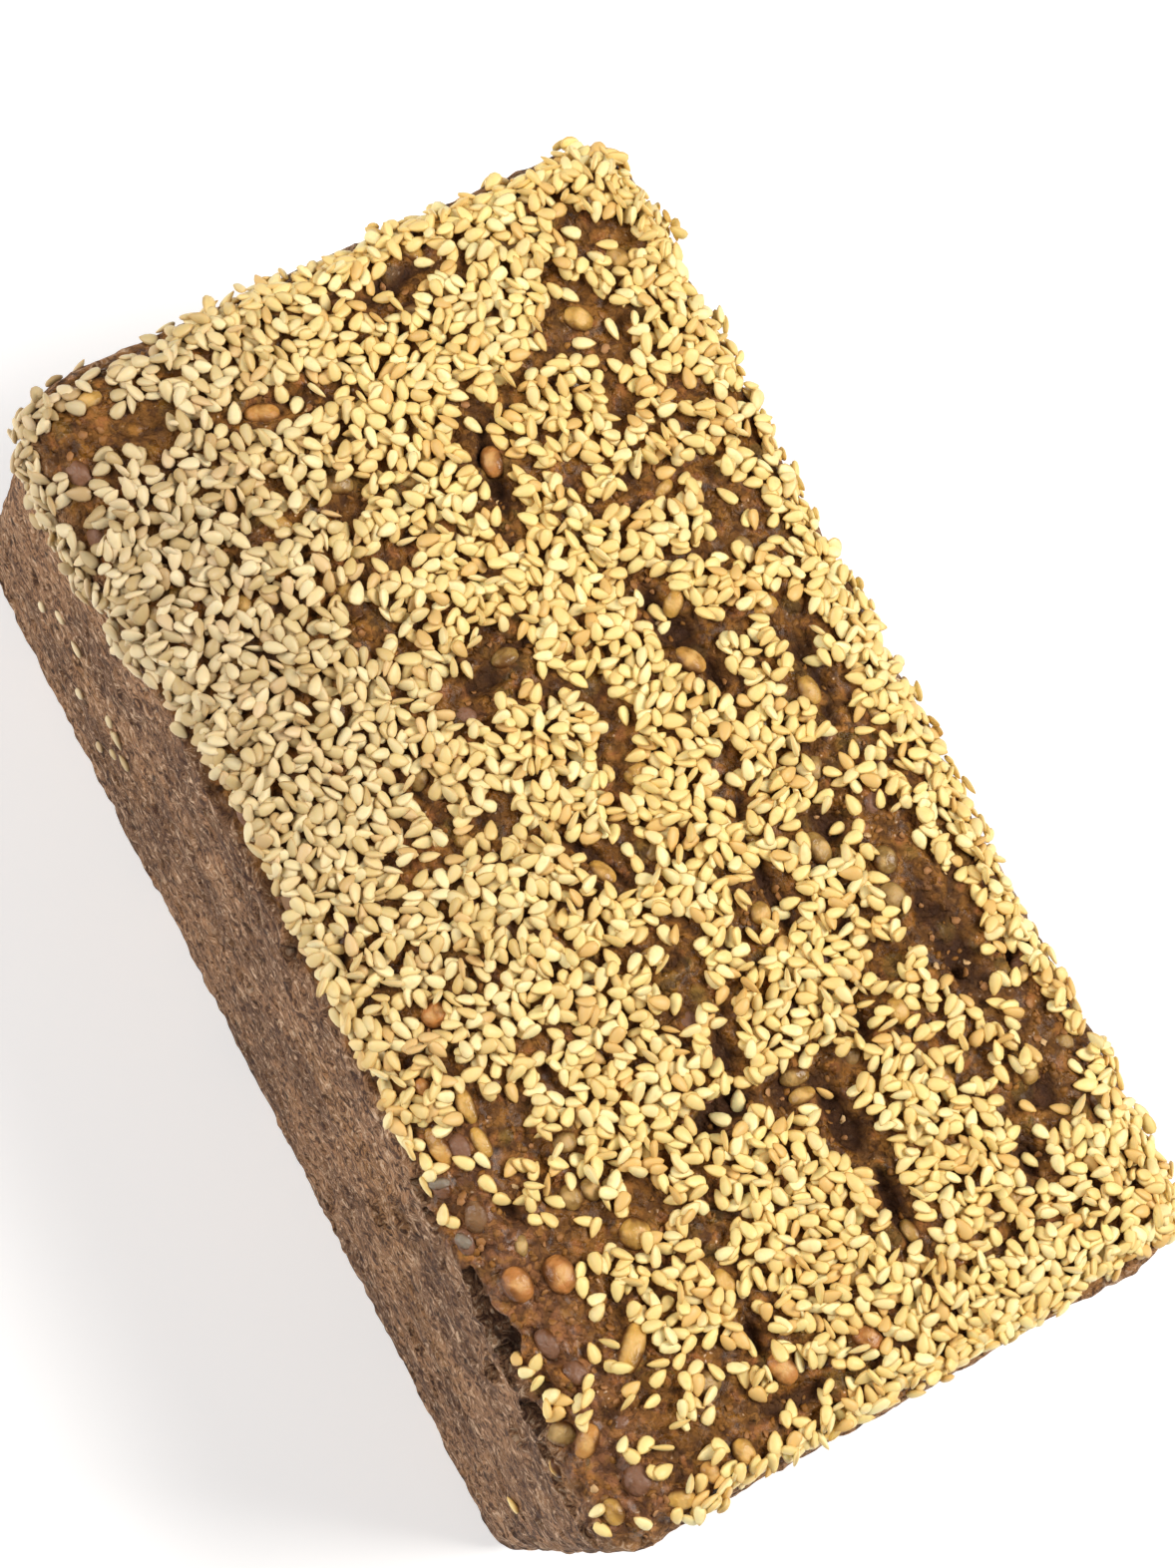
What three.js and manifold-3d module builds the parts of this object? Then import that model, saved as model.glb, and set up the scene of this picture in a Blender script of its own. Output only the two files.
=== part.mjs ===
// A tin-baked, seeded rye loaf, whole and uncut, standing on its flat base.
// Millimetres, +Z up. X runs along the loaf and Y across it; the origin is the middle of the base.

import * as THREE from "three";
import { mergeVertices } from "three/addons/utils/BufferGeometryUtils.js";
import Module from "manifold-3d";

// Driving sizes of the loaf.
const LENGTH = 189.5;
const WIDTH = 102.6;
const RIM_HEIGHT = 85; // base to the rim of the top
const CROWN = 2; // how far the middle of the top stands above its rim
const DRAFT = 1.8; // how far each wall leans in towards the base, as the tin does
const WALL_BULGE = 1; // how far the long walls swell at mid length
const CORNER_REACH = { farFront: 10, nearFront: 6, farBack: 10, nearBack: 12 }; // rounding, seen from above
const BASE_REACH = { far: 12, near: 7, front: 7, back: 12 }; // the same at the base, for each side
const RIM_DROP = 7; // height of the rounding between walls and top
const BASE_RISE = 6; // height of the rounding between base and walls
const CELLS = { along: 24, across: 15, up: 10, rounding: 3 }; // the crust's faces, and a rounding's
const CRUST_COLOUR = 0x5a3524;

// Broad swells of the top crust: wavelength, heading and phase in degrees, and height.
const SWELLS = [
  { wave: 64, heading: 20, phase: 40, height: 0.45 },
  { wave: 43, heading: 105, phase: 200, height: 0.4 },
  { wave: 31, heading: 62, phase: 310, height: 0.35 },
];

// Sesame seeds, spread over the top.
const SEED = { length: 3.4, width: 2.1, thickness: 1.3, sunk: 0.32 };
const SEED_SPREAD = 0.32; // the largest change of a seed's size, as a share
const SEED_COUNT = 186;
const SEED_GAP = 6.2; // least distance between two seeds' middles
const SEED_SPILL = 6; // how far the seeds run over the rim and down the walls
const SPILL_FAR = 16; // the same at the loaf's far front corner, where they slid down
const SPILL_FROM = -38; // where along the loaf the deeper spill begins

// Stretches of the top that the seeds left bare: middle, half sizes and turn in degrees.
const BARE = [
  { x: 64, y: -51, rx: 33, ry: 8, turn: 0 },
  { x: 48, y: -38.5, rx: 10, ry: 4, turn: 0 },
  { x: 85.5, y: -24, rx: 4.5, ry: 7, turn: 0 },
  { x: 45.5, y: -2.5, rx: 3.6, ry: 9, turn: 0 },
  { x: 62.5, y: 8, rx: 15, ry: 3, turn: 3 },
  { x: 19, y: 15, rx: 7, ry: 2.4, turn: 0 },
  { x: 15.5, y: 26, rx: 5, ry: 3.4, turn: 0 },
  { x: 36.5, y: 33.5, rx: 25, ry: 4.6, turn: 3 },
  { x: 69, y: 31.5, rx: 5, ry: 5, turn: 0 },
  { x: 57, y: 41.5, rx: 13, ry: 3.6, turn: 5 },
  { x: -19.5, y: 21.5, rx: 12, ry: 4, turn: 12 },
  { x: -27, y: -6.5, rx: 5, ry: 9, turn: 20 },
  { x: -53, y: 7, rx: 13, ry: 3.4, turn: -8 },
  { x: -67, y: 31.5, rx: 9, ry: 5, turn: 10 },
  { x: -76.5, y: -17.5, rx: 4, ry: 9, turn: -10 },
  { x: 4.5, y: -6, rx: 8, ry: 3, turn: 25 },
];

// Whole grains that stand half out of the top: place, size and turn in degrees.
const GRAINS = [
  { x: 53, y: -47, length: 5.2, width: 4.2, turn: 10 },
  { x: 55, y: -40.5, length: 5, width: 3.8, turn: 0 },
  { x: 69, y: -37, length: 7, width: 3.6, turn: -50 },
  { x: 56, y: -28, length: 4.6, width: 3.6, turn: 30 },
  { x: 38.5, y: -30, length: 4.2, width: 3.6, turn: 80 },
  { x: 87.5, y: -47.5, length: 4.2, width: 3.4, turn: 0 },
  { x: 81.5, y: -16.5, length: 6, width: 4, turn: 20 },
  { x: 83.5, y: -3.5, length: 5.2, width: 3.6, turn: 35 },
  { x: 30.5, y: -47, length: 7, width: 3.4, turn: 5 },
  { x: 42, y: -46.5, length: 5, width: 3.6, turn: -20 },
  { x: 23.5, y: 33, length: 4.4, width: 3.8, turn: 0 },
  { x: 29, y: 31, length: 4.8, width: 3.6, turn: 20 },
  { x: 15.5, y: 26, length: 6, width: 4, turn: 10 },
  { x: 59, y: 36.5, length: 4.4, width: 3.6, turn: -30 },
  { x: -15.5, y: 20.5, length: 5.6, width: 3.8, turn: 25 },
  { x: -55, y: 8, length: 5.2, width: 3.6, turn: -15 },
  { x: -69, y: 30.5, length: 5, width: 3.8, turn: 50 },
  { x: -76.5, y: -19.5, length: 5.4, width: 3.4, turn: 70 },
];
const GRAIN_SUNK = 0.55;

// Torn holes along the upper part of the front wall: place, height above the base, and sizes.
const HOLES = [
  { x: 56, z: 81.5, length: 10, height: 4, depth: 9, turn: 8 },
  { x: 70, z: 81, length: 6.5, height: 4, depth: 8, turn: -10 },
  { x: 78.5, z: 74, length: 7, height: 8, depth: 8, turn: 25 },
  { x: 87, z: 78, length: 5, height: 6, depth: 7, turn: 0 },
];

// Hollows where the top crust cracked open: middle, length, width and turn in degrees.
const CRACKS = [
  { x: 56.5, y: 8, length: 19, width: 4.4, turn: 4 },
  { x: 70, y: 9.5, length: 13, width: 3.6, turn: -8 },
  { x: 45, y: -6.5, length: 13, width: 4.6, turn: 74 },
  { x: 37.5, y: 34, length: 26, width: 5.2, turn: 4 },
];
const CRACK_DEPTH = 1.9;

const HALF_LENGTH = LENGTH / 2;
const HALF_WIDTH = WIDTH / 2;
const radians = THREE.MathUtils.degToRad;
const wasm = await Module();
wasm.setup();

// A repeatable draw from 0 to 1.
function makeDraw(seed) {
  let state = seed;
  return () => {
    state = (state * 1664525 + 1013904223) % 4294967296;
    return state / 4294967296;
  };
}

// How far the crust swells up at a place on the top.
function swell(x, y) {
  return SWELLS.reduce((sum, s) => {
    const along = x * Math.cos(radians(s.heading)) + y * Math.sin(radians(s.heading));
    return sum + s.height * Math.sin((2 * Math.PI * along) / s.wave + radians(s.phase));
  }, 0);
}

// Sizes of the rounding at a place along X and Y, which turn from each corner's own into the base's.
function reachAt(x, y, z) {
  const near = THREE.MathUtils.clamp(0.5 + (0.8 * x) / HALF_LENGTH, 0, 1);
  const back = THREE.MathUtils.clamp(0.5 + (0.8 * y) / HALF_WIDTH, 0, 1);
  const front = THREE.MathUtils.lerp(CORNER_REACH.farFront, CORNER_REACH.nearFront, near);
  const rear = THREE.MathUtils.lerp(CORNER_REACH.farBack, CORNER_REACH.nearBack, near);
  const corner = THREE.MathUtils.lerp(front, rear, back);
  const up = THREE.MathUtils.smoothstep(z, 0, RIM_HEIGHT / 2);
  return {
    x: THREE.MathUtils.lerp(x < 0 ? BASE_REACH.far : BASE_REACH.near, corner, up),
    y: THREE.MathUtils.lerp(y < 0 ? BASE_REACH.front : BASE_REACH.back, corner, up),
  };
}

// Moves a point of the sharp-edged box onto the loaf: rounded, drafted, swollen and crowned.
function onLoaf(point) {
  const drop = point.z > RIM_HEIGHT / 2 ? RIM_DROP : BASE_RISE;
  const corner = reachAt(point.x, point.y, point.z);
  const inner = new THREE.Vector3(
    THREE.MathUtils.clamp(point.x, corner.x - HALF_LENGTH, HALF_LENGTH - corner.x),
    THREE.MathUtils.clamp(point.y, corner.y - HALF_WIDTH, HALF_WIDTH - corner.y),
    THREE.MathUtils.clamp(point.z, BASE_RISE, RIM_HEIGHT - RIM_DROP),
  );
  const reach = new THREE.Vector3(corner.x, corner.y, drop);
  const out = point.clone().sub(inner).divide(reach).normalize();
  const placed = inner.add(out.multiply(reach));

  const level = placed.z / RIM_HEIGHT;
  const along = placed.x / HALF_LENGTH;
  const across = placed.y / HALF_WIDTH;
  const bulge = WALL_BULGE * (1 - along * along) * Math.sin(Math.PI * Math.min(level, 1));
  placed.x *= 1 - (DRAFT / HALF_LENGTH) * (1 - level);
  placed.y *= 1 - (DRAFT / HALF_WIDTH) * (1 - level) + bulge / HALF_WIDTH;
  const top = THREE.MathUtils.smoothstep(level, 0.75, 1);
  const dome = CROWN * (1 - along ** 4) * (1 - across * across);
  placed.z += top * (dome + swell(placed.x, placed.y));
  return placed;
}

// A place on the top, or past its edge and so down a wall, as a point of the sharp-edged box.
function onBox(x, y) {
  const pastX = Math.max(Math.abs(x) - HALF_LENGTH, 0);
  const pastY = Math.max(Math.abs(y) - HALF_WIDTH, 0);
  return new THREE.Vector3(
    THREE.MathUtils.clamp(x, -HALF_LENGTH, HALF_LENGTH),
    THREE.MathUtils.clamp(y, -HALF_WIDTH, HALF_WIDTH),
    RIM_HEIGHT - Math.max(pastX, pastY),
  );
}

// Where a place lies on the loaf: its point, and a turn that sets +Z along the crust's outward normal.
function seat(x, y, turn) {
  const step = 0.5;
  const point = onLoaf(onBox(x, y));
  const alongX = onLoaf(onBox(x + step, y)).sub(onLoaf(onBox(x - step, y)));
  const alongY = onLoaf(onBox(x, y + step)).sub(onLoaf(onBox(x, y - step)));
  const normal = alongX.cross(alongY).normalize();
  const upright = new THREE.Quaternion().setFromUnitVectors(new THREE.Vector3(0, 0, 1), normal);
  const spin = new THREE.Quaternion().setFromAxisAngle(new THREE.Vector3(0, 0, 1), radians(turn));
  return { point, normal, rotation: upright.multiply(spin) };
}

// The same for a place on the front wall, at a height above the base.
function seatOnFrontWall(x, z, turn) {
  return seat(x, -HALF_WIDTH - (RIM_HEIGHT - z), turn);
}

// How far inside an ellipse a place is: 1 on its rim and 0 in its middle.
function share(x, y, spot) {
  const c = Math.cos(radians(spot.turn));
  const s = Math.sin(radians(spot.turn));
  const dx = x - spot.x;
  const dy = y - spot.y;
  return Math.hypot((dx * c + dy * s) / spot.rx, (dy * c - dx * s) / spot.ry);
}

// Whether the seeds cover a place.
function covered(x, y) {
  const spill = x < SPILL_FROM && y < 0 ? SPILL_FAR : SEED_SPILL;
  const pastX = Math.abs(x) - HALF_LENGTH;
  const pastY = Math.abs(y) - HALF_WIDTH;
  const corner = reachAt(x, y, RIM_HEIGHT).x / 2;
  if (pastX > SEED_SPILL || pastY > spill || (pastX > -corner && pastY > -corner)) {
    return false;
  }
  return BARE.every((spot) => share(x, y, spot) > 1);
}

// A closed geometry as a solid that can be joined and cut.
function toSolid(geometry) {
  const bare = geometry.clone();
  bare.deleteAttribute("normal");
  bare.deleteAttribute("uv");
  const merged = mergeVertices(bare, 1e-4);
  return new wasm.Manifold(
    new wasm.Mesh({
      numProp: 3,
      vertProperties: merged.getAttribute("position").array,
      triVerts: new Uint32Array(merged.index.array),
    }),
  );
}

// A solid as a geometry again.
function toGeometry(solid) {
  const mesh = solid.getMesh();
  const geometry = new THREE.BufferGeometry();
  geometry.setAttribute("position", new THREE.BufferAttribute(mesh.vertProperties, 3));
  geometry.setIndex(new THREE.BufferAttribute(mesh.triVerts, 1));
  geometry.computeVertexNormals();
  return geometry;
}

// Moves an evenly spaced place between -half and half, so that the faces crowd in the roundings.
function crowd(place, half, cells, reach) {
  const flat = 1 - (2 * CELLS.rounding) / cells;
  const out = Math.abs(place) / half;
  const inner = half - reach;
  const crowded = out < flat ? (out / flat) * inner : inner + ((out - flat) / (1 - flat)) * reach;
  return Math.sign(place) * crowded;
}

// The bare loaf, with its rounding, draft, bulge and swells.
function makeCore() {
  const half = RIM_HEIGHT / 2;
  const box = new THREE.BoxGeometry(LENGTH, WIDTH, RIM_HEIGHT, CELLS.along, CELLS.across, CELLS.up);
  const places = box.getAttribute("position");
  for (let i = 0; i < places.count; i++) {
    const reach = reachAt(places.getX(i), places.getY(i), places.getZ(i) + half);
    const point = new THREE.Vector3(
      crowd(places.getX(i), HALF_LENGTH, CELLS.along, reach.x),
      crowd(places.getY(i), HALF_WIDTH, CELLS.across, reach.y),
      crowd(places.getZ(i), half, CELLS.up, reach.x) + half,
    );
    const placed = onLoaf(point);
    places.setXYZ(i, placed.x, placed.y, placed.z);
  }
  return toSolid(box);
}

// A ball drawn out to three full sizes, with its poles along X, laid at a seat.
function makeBall({ length, width, thickness, sides, rings, taper = 0 }, { point, rotation }) {
  const ball = new THREE.SphereGeometry(0.5, sides, rings);
  ball.rotateZ(-Math.PI / 2);
  const places = ball.getAttribute("position");
  for (let i = 0; i < places.count; i++) {
    const narrowing = 1 - taper * (places.getX(i) + 0.5);
    places.setY(i, places.getY(i) * narrowing);
    places.setZ(i, places.getZ(i) * narrowing);
  }
  ball.scale(length, width, thickness);
  ball.applyQuaternion(rotation);
  ball.translate(point.x, point.y, point.z);
  return toSolid(ball);
}

// One sesame seed, flat and narrowing towards its tip, resting in the crust.
function makeSeed(x, y, turn, size) {
  const place = seat(x, y, turn);
  const thickness = SEED.thickness * size;
  place.point.addScaledVector(place.normal, thickness * (0.5 - SEED.sunk));
  const sizes = { length: SEED.length * size, width: SEED.width * size, thickness };
  return makeBall({ ...sizes, sides: 5, rings: 3, taper: 0.45 }, place);
}

// Sesame seeds at places drawn one by one, each kept if the top is covered there and no seed is near.
function makeSeeds() {
  const draw = makeDraw(20);
  const kept = [];
  const seeds = [];
  for (let i = 0; seeds.length < SEED_COUNT && i < SEED_COUNT * 100; i++) {
    const x = (2 * draw() - 1) * (HALF_LENGTH + SEED_SPILL);
    const y = (2 * draw() - 1) * (HALF_WIDTH + SPILL_FAR);
    const turn = draw() * 360;
    const size = 1 + SEED_SPREAD * (draw() - 0.5);
    if (!covered(x, y) || kept.some((k) => Math.hypot(k.x - x, k.y - y) < SEED_GAP)) {
      continue;
    }
    kept.push({ x, y });
    seeds.push(makeSeed(x, y, turn, size));
  }
  return seeds;
}

// The whole grains that stand out of the crust.
function makeGrains() {
  return GRAINS.map((g) => {
    const place = seat(g.x, g.y, g.turn);
    const thickness = g.width * 0.9;
    place.point.addScaledVector(place.normal, thickness * (0.5 - GRAIN_SUNK));
    return makeBall({ length: g.length, width: g.width, thickness, sides: 6, rings: 4 }, place);
  });
}

// The torn holes and the cracks, as the solids that cut them.
function makeCuts() {
  const holes = HOLES.map((h) => {
    const sizes = { length: h.length, width: h.height, thickness: h.depth, sides: 7, rings: 4 };
    return makeBall(sizes, seatOnFrontWall(h.x, h.z, h.turn));
  });
  const cracks = CRACKS.map((c) => {
    const sizes = { length: c.length, width: c.width, thickness: CRACK_DEPTH * 2, sides: 6, rings: 5 };
    return makeBall(sizes, seat(c.x, c.y, c.turn));
  });
  return [...holes, ...cracks];
}

// The largest body of a solid, without the scraps that a cut leaves loose.
function largestBody(solid) {
  return solid.decompose().reduce((a, b) => (b.volume() > a.volume() ? b : a));
}

function makeLoaf() {
  const cut = makeCuts().reduce((solid, tool) => solid.subtract(tool), makeCore());
  const fused = [...makeGrains(), ...makeSeeds()].reduce((solid, piece) => solid.add(piece), cut);
  const geometry = toGeometry(largestBody(fused));
  geometry.computeBoundingBox();
  const middle = geometry.boundingBox.getCenter(new THREE.Vector3());
  const crust = new THREE.MeshStandardMaterial({ color: CRUST_COLOUR, roughness: 0.7, metalness: 0 });
  const loaf = new THREE.Mesh(geometry, crust);
  loaf.name = "loaf";
  loaf.position.set(-middle.x, -middle.y, -geometry.boundingBox.min.z);
  return loaf;
}

const model = new THREE.Group();
model.add(makeLoaf());

export default model;
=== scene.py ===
"""Dresses a tin-baked rye loaf: its fine crust, whole grains, sesame, crumbs and bran flakes."""

import math
from collections import namedtuple
from functools import lru_cache
from itertools import product

import bpy
import numpy as np
from bpy.props import FloatProperty, FloatVectorProperty, IntProperty, PointerProperty
from mathutils import Matrix, Vector


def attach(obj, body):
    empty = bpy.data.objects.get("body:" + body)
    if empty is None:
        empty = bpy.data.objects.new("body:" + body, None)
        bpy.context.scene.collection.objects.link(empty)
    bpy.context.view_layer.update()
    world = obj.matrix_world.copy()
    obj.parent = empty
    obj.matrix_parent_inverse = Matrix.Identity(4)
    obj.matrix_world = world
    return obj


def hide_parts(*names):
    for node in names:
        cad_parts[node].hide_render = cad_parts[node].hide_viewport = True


bl_info = {
    "name": "Seeded rye loaf",
    "version": (1, 0, 0),
    "blender": (4, 5, 0),
    "location": "3D View > Sidebar > Rye loaf",
    "description": "Makes a tin-baked rye loaf with a sesame top",
    "category": "Object",
}

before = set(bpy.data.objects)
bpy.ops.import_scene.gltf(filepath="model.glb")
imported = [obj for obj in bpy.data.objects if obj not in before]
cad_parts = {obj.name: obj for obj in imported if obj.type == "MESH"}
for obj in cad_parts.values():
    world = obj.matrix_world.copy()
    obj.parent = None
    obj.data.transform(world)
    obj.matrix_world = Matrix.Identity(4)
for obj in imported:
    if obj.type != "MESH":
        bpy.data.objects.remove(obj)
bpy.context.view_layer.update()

MM = 0.001
NODE = "loaf"
BODY = "root"

# Broad swells of the top crust in millimetres and degrees: wavelength, heading, phase, height.
SWELLS = ((64, 20, 40, 0.45), (43, 105, 200, 0.4), (31, 62, 310, 0.35))

# Where the top is bare or thinly seeded: x, y, half sizes, turn in degrees, and the share of seeds left.
BARE = (
    (52, -47.5, 22, 4.6, 0, 0.03), (57, -41, 14, 3.6, 0, 0.06), (38, -42, 9, 3, 0, 0.12),
    (80, -41.5, 12, 4.6, 0, 0.1), (82, -48, 12, 3.4, 0, 0.14), (91, -47, 5, 6, 0, 0.1),
    (80, -53.5, 18, 3, 0, 0.04), (46, -53.5, 18, 2.4, 0, 0.06), (73, -34.5, 5, 3.6, -10, 0.1),
    (62, -36, 6, 2.5, 0, 0.2), (51, -34, 4, 4.5, 0, 0.14), (52.5, -23.5, 3.5, 3.6, 0, 0.1),
    (84, -27, 6.5, 3.4, 0, 0.12), (74, -27.5, 4, 2.6, 0, 0.15), (86.5, -17, 3.4, 9, 0, 0.1),
    (74, -18, 5.4, 2, 0, 0.12), (59, -18.5, 3, 2, 0, 0.25), (58, -14, 1.6, 3, -30, 0.15),
    (46, -33.5, 3, 3, 0, 0.3), (37.5, -29.5, 2.5, 2, 0, 0.1), (24, -39, 12, 1.7, -2, 0.2),
    (24.5, -24, 1.2, 5, 0, 0.15), (33, -34.5, 10, 1.5, 3, 0.3), (13, -30.5, 5, 1.2, 10, 0.3),
    (45, -7, 3, 5.4, 10, 0.05), (36.5, -2.5, 5.5, 2.6, 0, 0.12), (46.5, 4, 3.6, 5.5, 0, 0.07),
    (54, 7.5, 8, 2.8, 0, 0.05), (60, 10.5, 17, 1.6, 0, 0.04), (69, 8.5, 6, 2, -5, 0.04),
    (29, -1, 4, 1.4, 0, 0.3), (24, 9, 4, 2, 0, 0.2), (20, 15.5, 6.8, 2.6, 0, 0.1),
    (42.5, 18, 3.6, 2, 0, 0.08), (15, 27, 4, 4.6, 0, 0.05), (80, 21, 2.6, 3.4, 0, 0.15),
    (73.5, 12.5, 2, 2, 0, 0.2), (49, 27, 3, 4, 0, 0.12), (37, 25, 4, 2.4, 0, 0.15),
    (43, 23.5, 3, 1.6, 0, 0.1), (13, 31.5, 5, 2.6, 0, 0.12), (22, 36, 7, 4.2, 0, 0.06),
    (38, 36.5, 16, 5.4, 0, 0.03), (55, 32, 3.5, 2, 0, 0.2), (64, 37, 4.6, 6, -15, 0.06),
    (72.5, 31.5, 5, 3.2, -10, 0.07), (56, 43.5, 15, 3.6, 2, 0.05), (63, 48, 8, 2.6, 5, 0.08),
    (20, 44.3, 11, 1.6, 0, 0.08), (-82.75, -46.25, 6, 8, 0, 0.25), (-89, -45, 7, 9, 0, 0.2),
    (-80, -48, 9, 5, 0, 0.4), (-52, -46, 20, 4, 5, 0.7), (-19.75, 21.25, 11, 3.6, 12, 0.05),
    (-27.25, -6.5, 4, 9, 20, 0.05), (-53, 7, 12, 3, -8, 0.06), (-67, 31.5, 9, 4.6, 10, 0.08),
    (-76.25, -17.25, 4, 9, -10, 0.12), (4.25, -6.25, 7, 2.6, 25, 0.05), (-6, 37, 14, 3.4, -4, 0.05),
    (-41.75, -20.75, 4, 3, 0, 0.15), (-41.5, 27, 3, 5, 0, 0.12), (-58.5, -15, 3, 3, 0, 0.15),
    (-9.5, 3.5, 3, 3, 0, 0.15), (-30, 42, 9, 2, 3, 0.1), (-86, 8, 4, 8, 10, 0.12),
    (-12, -24, 6, 1.6, 15, 0.2),
)

# Where the seeds lie thickest: x, y, half sizes, and turn in degrees.
THICK = (
    (68, -5, 19, 9, 5), (62, 20, 13, 7, 5), (32, -18, 13, 9, 0), (85, 40, 9, 9, 0), (87, 8, 6, 18, 0),
    (30, 20, 9, 8, 0), (34, 7, 9, 4, 0), (18, -46, 18, 4, 0), (8, -30, 12, 9, 0), (-35, -43, 45, 9, 0),
    (30, 47, 30, 3, 0), (-40, 5, 20, 12, 20), (-75, 0, 12, 25, 0),
)

# Where the top crust cracked or sank: x, y, half sizes, turn in degrees, and depth.
CRACKS = (
    (54, 8.5, 8, 2.4, 4, 2.2), (69, 9, 6.5, 1.8, -5, 2.2), (45, -7.5, 2.4, 5.5, 10, 2.4),
    (47, 3.5, 2.6, 4, 0, 1.4), (38, 36.5, 11, 2.8, 3, 1.2), (43.2, 35.8, 1.0, 0.8, 0, 3.0),
    (64, 37, 3, 4.5, -15, 1.3), (72.5, 31.5, 3.6, 2, -10, 1.6), (20, 15.5, 6, 1.6, 0, 1.6),
    (42.5, 18, 3, 1.4, 0, 1.6), (15, 27.5, 2.8, 3.4, 0, 1.4), (57.5, -14.5, 1, 2.6, -30, 1.4),
    (76, -18.5, 3.4, 1.4, 0, 1.6), (86.5, -17, 1.8, 7, 0, 1.1), (37, -2.5, 4.4, 1.6, 0, 1.2),
    (45, 44.5, 2.6, 1.6, 0, 1.8), (43.25, -41.75, 2.2, 1.3, 20, 1.8), (64, -46, 5, 1.2, 12, 1.6),
    (-19.75, 21.25, 10, 2, 12, 1.8), (-27.25, -6.5, 2, 7, 20, 2.0), (-53, 7, 9, 1.6, -8, 1.8),
    (4.25, -6.25, 6, 1.3, 25, 1.6), (-6, 37, 10, 1.6, -4, 1.2), (-76.25, -17.25, 2, 7, -10, 1.2),
    (-86, 8, 2, 6, 10, 1.2),
)

# Torn holes in the front wall: x, height, half sizes, turn in degrees, and depth.
TEARS = (
    (56.5, 82, 4.8, 1.8, 8, 4.2), (50, 82, 2.4, 1.2, -20, 2.6), (62.5, 80, 2.8, 1.3, -15, 3.4),
    (71, 80.4, 2.8, 1.8, -10, 3.8), (76, 77.8, 2.4, 2.4, 20, 4.2), (82.5, 75.6, 5.4, 2.1, -25, 4.0),
    (89, 77, 2.2, 3.2, 0, 3.6), (62.7, 71.6, 1.6, 2.0, 0, 2.6), (39.2, 81, 1.8, 1.4, 0, 2.6),
    (34.9, 82, 2.0, 1.2, 10, 2.6), (35.5, 50, 2, 2.4, 0, 1.6), (54, 27.5, 2.4, 1.6, 0, 1.6),
    (-4, 78, 1.5, 2, 0, 1.8), (36.5, 65.5, 3, 4, 0, 0.9), (73, 65, 1.4, 1.8, 0, 1.8),
)

# Whole grains that show: x, y, length, width, turn in degrees, and tint: amber (0) to grey (1) and ash (1.3).
GRAINS = (
    (53, -45.8, 5.6, 4.6, 5, 0.03), (54.6, -39.6, 6, 4.8, 0, 0.06), (68.6, -35.2, 8, 3.8, -45, 0.3),
    (54.5, -27, 5, 4.8, 30, 0.32), (38.25, -30, 3.8, 3.4, 80, 0.55), (46, -29.75, 3.6, 3.2, 20, 0.5),
    (77.25, -47.25, 5.4, 3.4, -50, 0.15), (87.75, -48.75, 4.2, 3.4, 0, 0.35),
    (85.5, -43.25, 5, 4.6, 0, 0.95), (81.5, -17, 5.4, 3.8, 20, 0.1), (83.5, -3.75, 5, 3.8, 35, 0.08),
    (89.25, -27.75, 4.4, 3.4, 10, 0.25), (30.5, -47, 6.4, 3, 5, 0.2), (13.5, -38.2, 3.8, 4.4, 5, 0.02),
    (22, -44.75, 3, 2.6, 0, 0.1), (41.75, -46.75, 5, 3.8, -20, 0.75), (62.5, -45.5, 5, 3.6, 12, 0.9),
    (35.5, -50, 4.4, 3, 5, 1.0), (44.25, -50.75, 4.2, 2.8, -8, 1.0), (32, -44, 4.6, 3.6, 0, 0.85),
    (68, -44, 4.4, 3.6, 25, 0.9), (23.5, 33, 4.4, 4, 0, 0.55), (28.75, 31.25, 4.8, 4.2, 20, 0.58),
    (17.4, 24.6, 5.6, 3.8, 10, 0.5), (45.4, 5.4, 4.6, 3, 80, 0.5), (48.4, 5, 4.2, 2.8, 80, 0.42),
    (22, 12, 3.8, 3.4, 0, 0.42), (44, 23.6, 4.4, 3.6, 0, 0.4), (61, 37.4, 3.8, 3.4, 0, 0.48),
    (66.6, -18.8, 4.4, 3, 10, 0.3), (45.6, -33, 4, 3.4, 0, 0.5), (27, -40.5, 6, 2.8, -4, 0.35),
    (32.75, -41, 5, 2.6, 6, 0.3), (73, 9.75, 4, 2.6, 12, 0.45), (84.5, -61.5, 5, 3.2, -30, 0.12),
    (79, -57.5, 3.4, 2.4, -40, 0.35), (44, -50.6, 2.8, 2.2, 30, 1.3), (35.2, -49.4, 3.2, 1.9, 70, 1.3),
    (91, -39, 4.6, 3.2, 60, 0.3), (89.5, -33.5, 3.8, 3.0, 20, 0.2), (-79.75, -49.5, 4.4, 3.6, 10, 0.95),
    (-70.5, -53.5, 4.2, 3.4, 0, 0.95), (-24.5, -51.75, 3.8, 3, 0, 0.8), (-10.75, -52, 5.4, 3, 0, 0.75),
    (-56.25, -47.75, 3.8, 3, 40, 0.6), (-15.75, 20.5, 5.4, 3.8, 25, 0.2), (-55, 8, 5.2, 3.6, -15, 0.1),
    (-69, 30.5, 5, 3.8, 50, 0.3), (-76.25, -19.25, 5.4, 3.4, 70, 0.15), (-28.25, -3.75, 4.6, 3.4, 80, 0.5),
    (6.25, -6.5, 4.8, 3.2, 25, 0.25), (-4, 35, 5, 3.4, 0, 0.4),
)

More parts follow.
